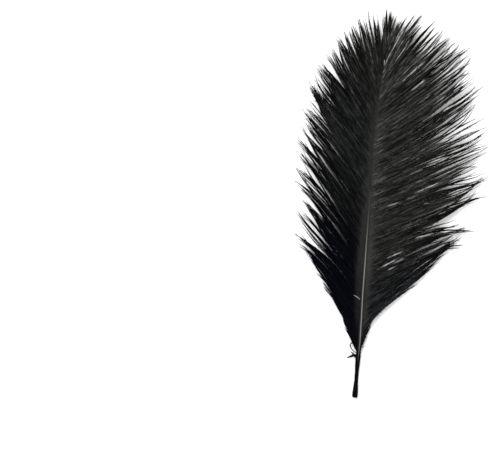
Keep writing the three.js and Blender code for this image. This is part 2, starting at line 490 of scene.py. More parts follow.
def shaft_point(share, angle):
    """A point on the shaft, at a share of its length and an angle round it from straight up."""
    distance = SHAFT_LENGTH * share**SHAFT_CROWDING
    half = float(along(SHAFT_HALF_WIDTH, distance))
    square = float(ramp(distance, *QUILL_TO_SHAFT))
    # Round in the quill, and nearer to a square with round corners beyond it
    across, up = math.sin(angle), math.cos(angle)
    power = 1 - SHAFT_SQUARENESS * square
    across = math.copysign(abs(across) ** power, across)
    up = math.copysign(abs(up) ** power, up)
    groove = GROOVE_DEPTH * half * square * math.exp(-((across / GROOVE_WIDTH) ** 2)) if up < 0 else 0.0
    swell = 1 + QUILL_SWELL * (1 - square) * math.sin(distance * QUILL_SWELL_RATE)
    return Vector(
        (
            float(along(SHAFT_BOW, distance)) + across * half * swell,
            distance,
            float(along(SHAFT_UNDERSIDE, distance)) + half * (1 + up) + groove,
        )
    )


def shaft_paleness(point, share):
    """How pale the shaft is at a point, as thin dye and painted highlight: only along its back, and only in
    the lower half.
    """
    distance = SHAFT_LENGTH * share**SHAFT_CROWDING
    half = float(along(SHAFT_HALF_WIDTH, distance))
    across = abs(point.x - float(along(SHAFT_BOW, distance)))
    height = (point.z - float(along(SHAFT_UNDERSIDE, distance))) / half - 1
    back = float(ramp(height, *PALE_HEIGHT)) * (1 - float(ramp(across, *PALE_LINE)))
    stretch = float(ramp(distance, *PALE_FROM)) * (1 - float(ramp(distance, *PALE_TO)))
    return back * stretch


def quill_end(bm):
    """The face that closes the quill's end."""
    return [face for face in bm.faces if face.normal.z < END_FACING and len(face.verts) > 4]


def build_shaft(colours):
    """The quill and the shaft in one piece, with the quill's open cut end."""
    bm = bmesh.new()
    bmesh.ops.create_cone(
        bm, cap_ends=True, cap_tris=False, segments=SHAFT_SIDES, radius1=1, radius2=1, depth=1
    )
    long_edges = [edge for edge in bm.edges if abs(edge.verts[0].co.z - edge.verts[1].co.z) > 0.5]
    bmesh.ops.subdivide_edges(bm, edges=long_edges, cuts=SHAFT_STEPS - 1, use_grid_fill=True)
    # The cut end is inset and pushed in, so that the quill is hollow there
    bmesh.ops.inset_region(bm, faces=quill_end(bm), thickness=1 - HOLLOW_SHARE, use_even_offset=True)
    hollow = {vert for face in quill_end(bm) for vert in face.verts}
    deeper = bmesh.ops.extrude_face_region(bm, geom=quill_end(bm))
    bottom = {vert for vert in deeper["geom"] if isinstance(vert, bmesh.types.BMVert)}
    bmesh.ops.delete(
        bm,
        geom=[face for face in bm.faces if len(face.verts) > 4 and all(v in hollow for v in face.verts)],
        context="FACES_ONLY",
    )
    pale = bm.verts.layers.float.new("pale")
    bare = bm.verts.layers.float.new("bare")
    for vert in bm.verts:
        share = min(max(vert.co.z + 0.5, 0.0), 1.0)
        reach = math.hypot(vert.co.x, vert.co.y)
        rim = shaft_point(share, math.atan2(vert.co.x, vert.co.y))
        middle = Vector((0, 0, float(along(SHAFT_HALF_WIDTH, 0))))
        if share == 0 and reach < INSIDE_RIM:
            rim = middle.lerp(rim, reach)
        if vert in bottom:
            rim.y += HOLLOW_DEPTH
        vert[pale] = shaft_paleness(rim, share) if share > 0 else 0.0
        vert[bare] = 1 - float(ramp(rim.y, *QUILL_TO_SHAFT))
        vert.co = Vector(in_frame(rim))
    bmesh.ops.recalc_face_normals(bm, faces=bm.faces)
    mesh = bpy.data.meshes.new("shaft")
    bm.to_mesh(mesh)
    bm.free()
    return place_piece(mesh, shaft_material(colours))


# Neighbouring barbs gather into strands of this many, fewest and most, and near the tip of a few more
STRAND_BARBS = (2, 5)
TIP_STRANDS_FROM = 222
TIP_STRANDS_MORE = 2
# What the barbs at the tip do differently comes in over these distances
TIP_OVER = (195, 225)


def strand_numbers(distance, rng):
    """Gathers neighbouring barbs into strands of a few each, and of more at the tip."""
    count = len(distance)
    fewest, most = STRAND_BARBS
    sizes = rng.integers(fewest, most + 1, count)
    at_tip = distance[np.minimum(np.cumsum(sizes), count - 1)] > TIP_STRANDS_FROM
    return np.repeat(np.arange(count), sizes + TIP_STRANDS_MORE * at_tip)[:count]


class Roots:
    """Where the barbs of a vane are rooted, from the quill to the tip, and the strands that they share."""

    def __init__(self, count, rng):
        even = np.linspace(0, 1, count)
        self.count = count
        self.distance = FIRST_BARB + (LAST_BARB - FIRST_BARB) * (1 - (1 - even) ** BARB_CROWDING)
        self.strand = strand_numbers(self.distance, rng)
        self.strands = self.strand[-1] + 1
        self.at_tip = ramp(self.distance, *TIP_OVER)


# Lengths as shares of the table's: the longest, and how much shorter a strand and a single barb may be
LONGEST = 1.09
LONGER_AT_TIP = 0.04
STRAND_SHORTER = 0.07
SHORTER_AT_TIP = 0.06
BARB_SHORTER = 0.22
BARB_SHORTER_POWER = 2.5
CUT_BACK_OVER = (50, 80)


def barb_lengths(vane, roots, rng):
    """How long each barb is."""
    longest = LONGEST + LONGER_AT_TIP * roots.at_tip
    longest = longest - vane.cut_back * ramp(roots.distance, *CUT_BACK_OVER) * (1 - roots.at_tip)
    shorter = (STRAND_SHORTER + SHORTER_AT_TIP * roots.at_tip) * rng.random(roots.strands)[roots.strand]
    length = along(vane.barbs, roots.distance, 2) * (longest - shorter)
    return length * (1 - BARB_SHORTER * rng.random(roots.count) ** BARB_SHORTER_POWER)


def parting_turn(partings, distance, share):
    """How far the partings of a vane turn barbs at shares of their length, in radians."""
    turn = np.zeros((len(distance), len(share)))
    for at, outwards, inwards, start in partings:
        away = distance - at
        degrees = np.where(away < 0, outwards, -inwards) * np.exp(-np.abs(away) / PARTING_REACH)
        turn += np.radians(degrees)[:, None] * ramp(share, start, 1)
    return turn


def slow_noise(rng, count, knots, size):
    """Random numbers that change smoothly along a row of things."""
    return np.interp(np.linspace(0, 1, count), np.linspace(0, 1, knots), rng.normal(0, size, knots))


# Directions, in degrees. The roots drift slowly along the shaft, and scatter from barb to barb
ROOT_DRIFT = 1.2
ROOT_DRIFT_KNOTS = 30
ROOT_SCATTER = 0.7
# Locks wander off over these shares of a barb, waves set in over these and ends curl over these
LOCK_TURN = 2.5
LOCK_TURN_OVER = (0.35, 0.8)
WAVES_OVER = (0.15, 0.9)
STRAND_CURL = 10
BARB_CURL = 13
CURL_OVER = (0.75, 1)
# A strand's wave and a barb's own turn through this many radians along a barb
STRAND_WAVE_TURN = 5.5
BARB_WAVE_TURN = 8
# At the tip there is this much less of each
LESS_WAVE_AT_TIP = 0.6
LESS_WANDER_AT_TIP = 0.5
LESS_CURL_AT_TIP = 0.7


def barb_angles(vane, roots, share, rng):
    """The direction of each barb at shares of its length, in radians from the shaft's."""
    turn = np.radians(along(vane.barbs, roots.distance, 3))
    start = np.radians(along(vane.barbs, roots.distance, 1)) - turn / 2
    start = start + slow_noise(rng, roots.count, ROOT_DRIFT_KNOTS, math.radians(ROOT_DRIFT))
    start = start + rng.normal(0, math.radians(ROOT_SCATTER), roots.count)
    wave = math.radians(vane.wave) * (1 - LESS_WAVE_AT_TIP * roots.at_tip)[:, None]
    strand_wave = rng.normal(0, 1, roots.strands)[roots.strand][:, None] * wave
    strand_phase = (rng.random(roots.strands) * 2 * math.pi)[roots.strand][:, None]
    own_wave = rng.normal(0, 1, roots.count)[:, None] * wave
    own_phase = (rng.random(roots.count) * 2 * math.pi)[:, None]
    loose = ramp(share, *WAVES_OVER)[None, :]
    angle = start[:, None] + turn[:, None] * share + parting_turn(vane.partings, roots.distance, share)
    wander = slow_noise(rng, roots.count, LOCKS_A_SIDE, math.radians(LOCK_TURN))
    wander = wander * (1 - LESS_WANDER_AT_TIP * roots.at_tip)
    angle = angle + wander[:, None] * ramp(share, *LOCK_TURN_OVER)
    angle = angle + loose * strand_wave * np.sin(STRAND_WAVE_TURN * share + strand_phase)
    angle = angle + loose * own_wave * np.sin(BARB_WAVE_TURN * share + own_phase)
    curl = rng.normal(0, math.radians(STRAND_CURL), roots.strands)[roots.strand]
    curl = curl + rng.normal(0, math.radians(BARB_CURL), roots.count)
    return angle + (curl * (1 - LESS_CURL_AT_TIP * roots.at_tip))[:, None] * ramp(share, *CURL_OVER)


# Up the shaft the roots close in on its middle, by this much over these distances
ROOT_INSET = 0.4
ROOT_INSET_OVER = (125, 165)


def middle_lines(vane, roots, length, angle):
    """The middle lines of the barbs seen from above, as their points across and along the feather."""
    middle = (angle[:, 1:] + angle[:, :-1]) / 2
    step = (length / BARB_STEPS)[:, None]
    nothing = np.zeros((roots.count, 1))
    across = np.hstack([nothing, np.cumsum(np.sin(middle) * step, axis=1)]) * vane.side
    ahead = np.hstack([nothing, np.cumsum(np.cos(middle) * step, axis=1)])
    inset = ROOT_INSET * ramp(roots.distance, *ROOT_INSET_OVER)
    across = across + (along(SHAFT_BOW, roots.distance) - vane.side * inset)[:, None]
    return across, ahead + roots.distance[:, None]


# A strand starts to draw together at this share of its barbs' length or up to the spread later
GATHER_FROM = 0.36
GATHER_SPREAD = 0.26
GATHERED_BY = 0.95
# How tightly it does so, from 0 to 1: at least this, or up to the spread more, and another value at the tip
TIGHTNESS = 0.6
TIGHTNESS_SPREAD = 0.35
TIGHTNESS_AT_TIP = 0.95
TIGHT_TIP_OVER = (214, 232)
LOOSER_OVER = (31, 60)
LOOSE_TIGHTNESS = 0.1


def gather_strands(vane, roots, share, lines, rng):
    """Draws the barbs of each strand together towards their ends."""
    gathered_from = (GATHER_FROM + GATHER_SPREAD * rng.random(roots.strands))[roots.strand][:, None]
    tightness = (TIGHTNESS + TIGHTNESS_SPREAD * rng.random(roots.strands))[roots.strand][:, None]
    tightness = tightness * (1 - vane.looser * ramp(roots.distance, *LOOSER_OVER))[:, None]
    tip_share = ramp(roots.distance, *TIGHT_TIP_OVER)[:, None]
    tightness = tightness + (TIGHTNESS_AT_TIP - tightness) * tip_share
    tightness = tightness * np.where(rng.random(roots.count) < LOOSE_BARBS, LOOSE_TIGHTNESS, 1.0)[:, None]
    pull = tightness * ramp(share[None, :], gathered_from, GATHERED_BY)
    for number in range(roots.strands):
        own = roots.strand == number
        for line in lines:
            centre = line[own].mean(axis=0)
            line[own] += (centre - line[own]) * pull[own]


def open_slits(vane, roots, share, angle, lines):
    """Pushes the barbs beside each slit apart, and gives the share of their fringe that is left."""
    across, ahead = lines
    fringe = np.ones((roots.count, len(share)))
    for at, first, last, width in vane.slits:
        away = roots.distance - at
        open_share = ramp(share, first, first + SLIT_OPENS)
        if last < OPEN_END:
            open_share = open_share * (1 - ramp(share, last - SLIT_OPENS, last))
        near = np.sign(away) * np.exp(-np.abs(away) / SLIT_REACH)
        push = near[:, None] * open_share[None, :] * width / 2
        across -= vane.side * np.cos(angle) * push
        ahead += np.sin(angle) * push
        bare = np.exp(-np.abs(away) / BARE_REACH)
        fringe *= 1 - SLIT_BARENESS * bare[:, None] * open_share[None, :]
    return fringe


# A barb leaves the shaft this high on its side, in half widths, and higher over these distances
ROOT_HEIGHT = 1.3
ROOT_HEIGHT_RISE = 0.9
ROOT_RISE_OVER = (125, 170)
# Ends lie at least this high, or up to the spread higher, and the arch rises by this share of the length
LOWEST_END = 0.5
END_SPREAD = 2.0
ARCH = 0.03
FALL_POWER = 1.5
# Strands and barbs lie over and under each other by about this much, from these shares of a barb
STRAND_LAYER = 0.45
BARB_LAYER = 0.4
LAYERS_OVER = (0.05, 0.35)
LOWEST_BARB = 0.35


def barb_heights(roots, length, share, rng):
    """The heights of the barbs: out of the shaft's sides, over a low arch and down to the floor."""
    half_shaft = along(SHAFT_HALF_WIDTH, roots.distance)
    on_side = ROOT_HEIGHT + ROOT_HEIGHT_RISE * ramp(roots.distance, *ROOT_RISE_OVER)
    root_height = along(SHAFT_UNDERSIDE, roots.distance) + half_shaft * on_side
    end_height = LOWEST_END + END_SPREAD * rng.random(roots.strands)[roots.strand]
    layer = rng.normal(0, STRAND_LAYER, roots.strands)[roots.strand]
    layer = layer + rng.normal(0, BARB_LAYER, roots.count)
    height = root_height[:, None] + (end_height - root_height)[:, None] * share**FALL_POWER
    height = height + ARCH * length[:, None] * np.sin(math.pi * share)
    return height + layer[:, None] * ramp(share, *LAYERS_OVER) * (1 - 0.5 * share)


class Barbs:
    """Barbs as ribbons: the arrays have a row for each barb and a column for each step along it."""

    def __init__(self, points, roll, half_width, half_thickness, tone, band, cold, fringe, length):
        self.points = points
        self.fringe = fringe
        self.half_width = half_width
        self.half_thickness = half_thickness
        self.tone = tone
        self.band = band
        self.cold = cold
        self.length = length
        forward = np.gradient(points, axis=1)
        self.forward = forward / np.linalg.norm(forward, axis=2, keepdims=True)
        level = np.cross(self.forward, [0.0, 0.0, 1.0])
        level /= np.linalg.norm(level, axis=2, keepdims=True)
        rise = np.cross(level, self.forward)
        self.across = level * np.cos(roll)[..., None] + rise * np.sin(roll)[..., None]
        self.up = np.cross(self.across, self.forward)

    def some(self, chosen):
        """The chosen barbs alone."""
        part = Barbs.__new__(Barbs)
        for name, values in self.__dict__.items():
            setattr(part, name, values[chosen])
        return part


# The band beside the shaft varies in width by this share, and is left at no flatter an angle than this
BAND_SCATTER = 0.07
LEAST_ANGLE = math.radians(25)
# Half the width of a barb inside the band, and half its thickness there and what it gains beyond it
BAND_HALF_WIDTH = 0.5
BAND_HALF_THICKNESS = 0.1
THICKNESS_GAIN = 0.16
# A barb narrows by the first number over these shares of its length, then by the second over these
TAPERS = [(0.3, 0.45, 0.85), (0.55, 0.7, 1.0)]
# The upper barbs grow wider over the first distances and lose it over the second, in their outer part
UPPER_FROM = (180, 195)
UPPER_TO = (222, 232)
WIDER_OVER = (0.45, 0.7)
# How far barbs roll about their own line, in radians
ROLL = 0.1
ROLL_SCATTER = 0.45
# In widths of the band: where barbs grow full, and by where they roll
FULL_OVER = (0.8, 1.6)
ROLLED_BY = 2


def vane_barbs(vane, sizes, rng):
    """The barbs of one vane, from the quill to the tip."""
    roots = Roots(sizes.barbs_a_side, rng)
    share = np.linspace(0, 1, BARB_STEPS + 1)
    length = barb_lengths(vane, roots, rng)
    angle = barb_angles(vane, roots, share, rng)
    lines = middle_lines(vane, roots, length, angle)
    gather_strands(vane, roots, share, lines, rng)
    fringe = open_slits(vane, roots, share, angle, lines)
    height = barb_heights(roots, length, share, rng)

    # Ribbons: thin in the band beside the shaft, then full, then finer and finer
    band_width = (sizes.band_width * along(BAND_WIDTHS, roots.distance, vane.band_column))[:, None]
    band_width = band_width * (1 + BAND_SCATTER * rng.normal(0, 1, roots.count))[:, None]
    from_root = share[None, :] * length[:, None]
    from_shaft = from_root * np.sin(np.maximum(np.abs(angle), LEAST_ANGLE))
    full = ramp(from_shaft, band_width * FULL_OVER[0], band_width * FULL_OVER[1])
    taper = 1
    for narrower, first, last in TAPERS:
        taper = taper - narrower * ramp(share, first, last)
    half_width = BAND_HALF_WIDTH + (sizes.barb_width / MM / 2 - BAND_HALF_WIDTH) * full
    half_width = half_width * taper * (0.5 + 0.5 * fringe)
    upper = ramp(roots.distance, *UPPER_FROM) * (1 - ramp(roots.distance, *UPPER_TO))
    half_width = half_width * (1 + vane.upper_wider * upper[:, None] * ramp(share, *WIDER_OVER))
    half_thickness = (BAND_HALF_THICKNESS + THICKNESS_GAIN * full) * taper
    roll = rng.normal(ROLL, ROLL_SCATTER, roots.count)[:, None]
    roll = roll * ramp(from_shaft, band_width, band_width * ROLLED_BY)

    # What colours them
    tone = fibre_tone(vane, roots, share, rng)
    tone = tone + root_light(vane, roots, from_shaft, band_width, rng)
    add_painted_highlights(vane, roots, share, tone, half_width, height)
    band = band_strength(vane, roots, from_shaft, band_width)
    cold = np.broadcast_to(coldness(vane, roots)[:, None], tone.shape)
    points = np.stack([*lines, np.maximum(height, LOWEST_BARB)], axis=2)
    return Barbs(points, roll, half_width, half_thickness, tone, band, cold, fringe, length)


# The fibre is up to twice as light at the tip, partly lighter fibre and partly painted glints, over these
# distances
LIGHT_TIP_OVER = (205, 235)
# How even strands, barbs and the streaks along a barb are: the higher, the more alike
STRAND_EVENNESS = 6
BARB_EVENNESS = 3.5
STREAK_EVENNESS = 4
STREAK_STEPS = 12
# Near the shaft barbs differ less: the power of the difference, its gain, and the shares that it grows over
UNLIKE_POWER = 0.3
UNLIKE_GAIN = 0.7
UNLIKE_OVER = (0.3, 0.65)
END_FADE_OVER = (0.5, 0.85)


def fibre_tone(vane, roots, share, rng):
    """How light each barb is along its length: by place, with a darker foot that is partly painted shade,
    by strand, by barb and in slow streaks.
    """
    lowest, gain = vane.tone
    place = lowest + gain * ramp(roots.distance, *vane.tone_over)
    place = place * (1 + ramp(roots.distance, *LIGHT_TIP_OVER))
    by_strand = rng.gamma(STRAND_EVENNESS, 1 / STRAND_EVENNESS, roots.strands)[roots.strand]
    by_barb = rng.gamma(BARB_EVENNESS, 1 / BARB_EVENNESS, roots.count)
    # The slow streaks along a barb are partly uneven tone and partly painted highlights where it catches
    # the light
    knots = rng.gamma(STREAK_EVENNESS, 1 / STREAK_EVENNESS, (roots.count, STREAK_STEPS + 1))
    at = share * STREAK_STEPS
    low = np.minimum(at.astype(int), STREAK_STEPS - 1)
    streaks = knots[:, low] + (knots[:, low + 1] - knots[:, low]) * (at - low)
    unlike = (by_strand * by_barb)[:, None] ** (UNLIKE_POWER + UNLIKE_GAIN * ramp(share, *UNLIKE_OVER))
    fade = vane.end_fade * ramp(share, *END_FADE_OVER)
    return place[:, None] * unlike * streaks * (1 - fade)


# Single barbs catch the light from the band, in its widths, to this far from the shaft, in millimetres,
# and along this part of the shaft
ROOT_LIGHT_AFTER = 1.3
ROOT_LIGHT_TO = (6, 10)
ROOT_LIGHT_FROM = (80, 120)
ROOT_LIGHT_UNTIL = (185, 215)
ROOT_LIGHT_EVENNESS = 1.2


def root_light(vane, roots, from_shaft, band_width, rng):
    """How much lighter the roots of single barbs are just beyond the band."""
    near_band = ramp(from_shaft, band_width, band_width * ROOT_LIGHT_AFTER)
    near_band = near_band * (1 - ramp(from_shaft, *ROOT_LIGHT_TO))
    along_shaft = ramp(roots.distance, *ROOT_LIGHT_FROM) * (1 - ramp(roots.distance, *ROOT_LIGHT_UNTIL))
    by_barb = rng.gamma(ROOT_LIGHT_EVENNESS, vane.root_light, roots.count)
    return (by_barb * along_shaft)[:, None] * near_band


def add_painted_highlights(vane, roots, share, tone, half_width, height):
    """Paints highlights on single barbs over short stretches, and lays them thin on top of the others."""
    for at, first, last, lightness in vane.pale:
        own = np.argmin(np.abs(roots.distance - at))
        inside = np.clip((share - first) / (last - first), 0, 1)
        window = np.sin(math.pi * inside) ** HIGHLIGHT_ROUNDING
        tone[own] += lightness * window
        half_width[own] *= 1 - HIGHLIGHT_NARROWER * window
        height[own] += HIGHLIGHT_RISE * window


# The band ends over these shares of its width. It comes in over these distances, in two halves, and
# grows weaker by this share towards the tip
BAND_EDGE = (0.85, 1.15)
BAND_FROM = (34, 60)
BAND_FULL = (60, 100)
BAND_WEAKER = 0.3
BAND_WEAKER_OVER = (170, 225)


def band_strength(vane, roots, from_shaft, band_width):
    """How much each point of the barbs belongs to the smooth band beside the shaft."""
    band = 1 - ramp(from_shaft, band_width * BAND_EDGE[0], band_width * BAND_EDGE[1])
    grown = ramp(roots.distance, *BAND_FROM) * (0.5 + 0.5 * ramp(roots.distance, *BAND_FULL))
    band = band * grown[:, None]
    band = band * (1 - BAND_WEAKER * ramp(roots.distance, *BAND_WEAKER_OVER))[:, None]
    return band * vane.band_strength


# The left vane loses half of its blue over each of these distances, and the right one all over this
LEFT_COLD_TO = [(70, 120), (180, 225)]
RIGHT_COLD = 0.8
RIGHT_COLD_TO = (60, 105)


def coldness(vane, roots):
    """How blue the fibre's colour is: most at the foot of the left vane, and not at all at the tip."""
    if vane.side > 0:
        return RIGHT_COLD * (1 - ramp(roots.distance, *RIGHT_COLD_TO))
    cold = 1
    for over in LEFT_COLD_TO:
        cold = cold - ramp(roots.distance, *over) / 2
    return cold


class PointNumbers:
    """Numbers of a mesh's points: what colours them, and where on which barb they are."""

    def __init__(self, tone, band, cold, share, row, length):
        self.tone = tone
        self.band = band
        self.cold = cold
        self.share = share
        self.row = row
        self.length = length

    def joined(self, other):
        """These numbers and then another mesh's."""
        pairs = zip(self.__dict__.values(), other.__dict__.values())
        return PointNumbers(*[np.concatenate(pair) for pair in pairs])


def ribbon_mesh(barbs):
    """Each barb as a closed ribbon with a ridge on both faces, ending in a point."""
    count, steps = barbs.half_width.shape
    rings = steps - 1
    across = barbs.across * barbs.half_width[..., None]
    up = barbs.up * barbs.half_thickness[..., None]
    around = np.stack([across, up, -across, -up], axis=2)[:, :rings]
    ring_points = barbs.points[:, :rings, None, :] + around
    tips = barbs.points[:, -1]
    points = np.vstack([ring_points.reshape(-1, 3), tips])
    number = np.arange(count * rings * 4).reshape(count, rings, 4)
    after = np.roll(number, -1, axis=2)
    sides = np.stack([number[:, :-1], number[:, 1:], after[:, 1:], after[:, :-1]], axis=3).reshape(-1, 4)
    tip_number = (count * rings * 4 + np.arange(count))[:, None] + np.zeros((1, 4), dtype=int)
    points_to_tip = np.stack([number[:, -1], tip_number, after[:, -1]], axis=2).reshape(-1, 3)
    caps = number[:, 0]
    faces = [*sides.tolist(), *points_to_tip.tolist(), *caps.tolist()]

    def spread(values):
        return np.concatenate([np.repeat(values[:, :rings, None], 4, axis=2).ravel(), values[:, -1]])

    share = np.broadcast_to(np.linspace(0, 1, steps), (count, steps))
    row = np.broadcast_to(np.arange(count)[:, None], (count, steps))
    across_row = np.concatenate([np.tile([0.25, 0, -0.25, 0], count * rings), np.zeros(count)])
    length = np.broadcast_to(barbs.length[:, None], (count, steps))
    numbers = [barbs.tone, barbs.band, barbs.cold, share, row, length]
    tone, band, cold, share, row, length = [spread(values) for values in numbers]
    return points, faces, PointNumbers(tone, band, cold, share, row + across_row, length)


# Barbules are at least this share of their full length, or up to the spread more, and shorter outside
BARBULE_SHORTEST = 0.6
BARBULE_LENGTH_SPREAD = 0.8
BARBULE_SHORTER = 0.45
BARBULE_SHORTER_OVER = (0.4, 0.9)
BAND_BARBULE_SHORTER = 0.7
# They stand off the barb by this many degrees, closer outside, and bend forward half way
BARBULE_SPREAD = 38
BARBULE_SPREAD_SCATTER = 8
BARBULE_CLOSER = 0.35
BARBULE_CLOSER_OVER = (0.4, 0.8)
BARBULE_BEND = 0.45
BARBULE_LIFT = -4
BARBULE_LIFT_SCATTER = 14
# Half the thickness of a barbule at its root, how much finer the outer ones are, how thick it still is
# at its bend and how high it is for its width, and the lowest point
BARBULE_HALF_THICKNESS = 0.095
BARBULE_FINER = 0.4
BARBULE_AT_BEND = 0.8
BARBULE_HEIGHT = 0.8
LOWEST_BARBULE = 0.12
# How light barbules are beside their barb, and how far from its middle its colour is read, in barbs
BARBULE_TONE = 0.8
BARBULE_ROW = 0.3
BARBULE_ROW_SCATTER = 0.06
# A barbule's faces, by the numbers of its points: three at its root, three at its bend and its tip
BARBULE_POINTS = 7
BARBULE_FACES = [
    [0, 2, 1], [0, 1, 4, 3], [1, 2, 5, 4], [2, 0, 3, 5], [3, 4, 6], [4, 5, 6], [5, 3, 6],
]


def barbule_mesh(barbs, sizes, rng):
    """The fringe of barbules on both sides of each barb, as small closed spikes with one bend."""
    count, steps = barbs.half_width.shape
    spacing = sizes.barbule_spacing / MM
    number = (2 * BARBULE_SHARE * barbs.length / spacing).astype(int)
    barb = np.repeat(np.arange(count), number)
    total = len(barb)
    share = BARBULES_FROM + BARBULE_SHARE * rng.random(total)
    edge = np.where(rng.random(total) < 0.5, -1.0, 1.0)
    place = share * (steps - 1)
    low = np.minimum(place.astype(int), steps - 2)
    part = place - low

    def at(values):
        near, far = values[barb, low], values[barb, low + 1]
        weight = part if near.ndim == 1 else part[:, None]
        return near + (far - near) * weight

    forward, across, up = at(barbs.forward), at(barbs.across), at(barbs.up)
    root = at(barbs.points) + across * (edge * at(barbs.half_width) * 0.5)[:, None]
    length = sizes.barbule_length / MM * (BARBULE_SHORTEST + BARBULE_LENGTH_SPREAD * rng.random(total))
    length = length * (1 - BARBULE_SHORTER * ramp(share, *BARBULE_SHORTER_OVER))
    length = length * (1 - BAND_BARBULE_SHORTER * at(barbs.band)) * at(barbs.fringe)
    closer = 1 - BARBULE_CLOSER * ramp(share, *BARBULE_CLOSER_OVER)
    spread = np.radians(rng.normal(BARBULE_SPREAD, BARBULE_SPREAD_SCATTER, total) * closer)
    lift = np.radians(rng.normal(BARBULE_LIFT, BARBULE_LIFT_SCATTER, total))

    def heading(spread_angle):
        flat = forward * np.cos(spread_angle)[:, None] + across * (edge * np.sin(spread_angle))[:, None]
        return flat * np.cos(lift)[:, None] + up * np.sin(lift)[:, None]

    first, second = heading(spread), heading(spread * BARBULE_BEND)
    bend = root + first * (length * 0.5)[:, None]
    tip = bend + second * (length * 0.5)[:, None]
    sideways = np.cross(first, up)
    thick = BARBULE_HALF_THICKNESS * (1 - BARBULE_FINER * share)

    def corners(middle, size):
        wide = sideways * size[:, None]
        high = up * (size * BARBULE_HEIGHT)[:, None]
        return [middle - wide, middle + wide, middle + high]

    points = np.stack([*corners(root, thick), *corners(bend, thick * BARBULE_AT_BEND), tip], axis=1)
    points[..., 2] = np.maximum(points[..., 2], LOWEST_BARBULE)
    starts = (np.arange(total) * BARBULE_POINTS)[:, None]
    faces = [face for shape in BARBULE_FACES for face in (starts + np.array(shape)).tolist()]

    row = barb + edge * BARBULE_ROW + rng.normal(0, BARBULE_ROW_SCATTER, total)
    tone = at(barbs.tone) * BARBULE_TONE
    numbers = [tone, at(barbs.band), at(barbs.cold), share, row, barbs.length[barb]]
    numbers = [np.repeat(values, BARBULE_POINTS) for values in numbers]
    return points.reshape(-1, 3), faces, PointNumbers(*numbers)


# A light streak is about this long, in millimetres, and this many barbs wide
STREAK_LENGTH = 5.0
STREAK_ROWS = 0.8
# The streaks of barbs of different length are read this far apart, for each millimetre
STREAK_SHIFT = 0.37


def barb_piece(name, barbs, sizes, material, rng):
    """One piece of the vane: its barbs' ribbons and their barbules, with the numbers that colour them."""
    ribbon_points, ribbon_faces, ribbon_numbers = ribbon_mesh(barbs)
    barbule_points, barbule_faces, barbule_numbers = barbule_mesh(barbs, sizes, rng)
    shift = len(ribbon_points)
    faces = ribbon_faces + [[corner + shift for corner in face] for face in barbule_faces]
    mesh = bpy.data.meshes.new(name)
    mesh.from_pydata(in_frame(np.vstack([ribbon_points, barbule_points])).tolist(), [], faces)
    numbers = ribbon_numbers.joined(barbule_numbers)
    add_numbers(mesh, "tone", numbers.tone)
    add_numbers(mesh, "band", numbers.band)
    add_numbers(mesh, "cold", numbers.cold)
    along_barb = numbers.share * numbers.length / STREAK_LENGTH
    fibre = np.stack([along_barb, numbers.row / STREAK_ROWS, numbers.length * STREAK_SHIFT], axis=1)
    add_numbers(mesh, "fibre", fibre, "FLOAT_VECTOR", "vector")
    corner = np.empty(len(mesh.loops), dtype=int)
    mesh.loops.foreach_get("vertex_index", corner)
    row = (numbers.row + 0.5) / len(barbs.length)
    uv = np.stack([numbers.share[corner], row[corner]], axis=1)
    mesh.uv_layers.new(name="OFBake").data.foreach_set("uv", uv.ravel())
    return place_piece(mesh, material)


def build_vanes(sizes, colours):
    """Both vanes, in a few pieces each."""
    material = barb_material(colours)
    for vane in VANES:
        rng = np.random.default_rng(sizes.seed + vane.seed_step)
        barbs = vane_barbs(vane, sizes, rng)
        share = np.arange(len(barbs.length)) / len(barbs.length)
        starts = [start for _, start in VANE_PIECES] + [1.0]
        for (part_name, start), end in zip(VANE_PIECES, starts[1:]):
            part = barbs.some((share >= start) & (share < end))
            barb_piece(f"{vane.name}_vane_{part_name}", part, sizes, material, rng)


# Loose barbs: the points that each passes (across, along, height), then its half width at the root, its
# tone and its fringe
STRAY_BARBS = {
    "loop": (
        [(-2.4, 38.2, 2.2), (-4.6, 39, 2.4), (-6.1, 38.4, 2.2), (-6.4, 36.8, 1.8), (-5.4, 35, 1.5),
         (-3.8, 33.4, 1.3), (-1.6, 31.6, 1.2)],
        0.42, 0.4, 0.5,
    ),
    "upper": (
        [(-0.2, 27.6, 1.6), (-1.8, 29.3, 1.7), (-3.5, 30.9, 1.6), (-5.9, 33.1, 1.4)],
        0.72, 0.2, 0.8,
    ),
    "lower": (
        [(-0.8, 29.0, 1.5), (-3.0, 30.2, 1.3), (-5.0, 29.3, 0.9), (-8.2, 27.8, 0.7)],
        1.0, 0.15, 0.8,
    ),
    "pale": (
        [(-2.6, 71.0, 6.2), (-4.0, 71.9, 6.6), (-5.9, 73.1, 6.8), (-7.7, 73.8, 6.6)],
        0.3, 15.0, 0.1,
    ),
    # These two tip barbs are pale, partly a painted highlight where the barbs fork at the shaft's tip
    "tip_short": (
        [(0.5, 239.4, 8.4), (0.4, 241.2, 9.0), (0.2, 243.4, 9.2)],
        0.36, 20.0, 0.1,
    ),
    "tip_long": (
        [(1.0, 239.5, 8.4), (2.8, 245.5, 9.0), (6.0, 252.2, 8.6), (9.2, 259.0, 7.8)],
        0.34, 12.0, 0.1,
    ),
}
STRAY_TAPER = 0.8
STRAY_ROLL = 0.2
STRAY_SEED_STEP = 5


def stray_barb(points, half_width, tone, fringe):
    """One loose barb on a smooth curve through points."""
    points = np.array(points, dtype=float)
    knots = np.linspace(0, 1, len(points))
    share = np.linspace(0, 1, BARB_STEPS + 1)
    line = np.stack([smooth_through(share, knots, points[:, axis]) for axis in range(3)], axis=1)[None]
    width = (half_width * (1 - STRAY_TAPER * share**3))[None]
    same = np.ones_like(width)
    length = np.linalg.norm(np.diff(line[0], axis=0), axis=1).sum()
    roll, nothing = same * STRAY_ROLL, same * 0
    tone, fringe = same * tone, same * fringe
    return Barbs(line, roll, width, width * 0.5, tone, nothing, nothing, fringe, np.array([length]))


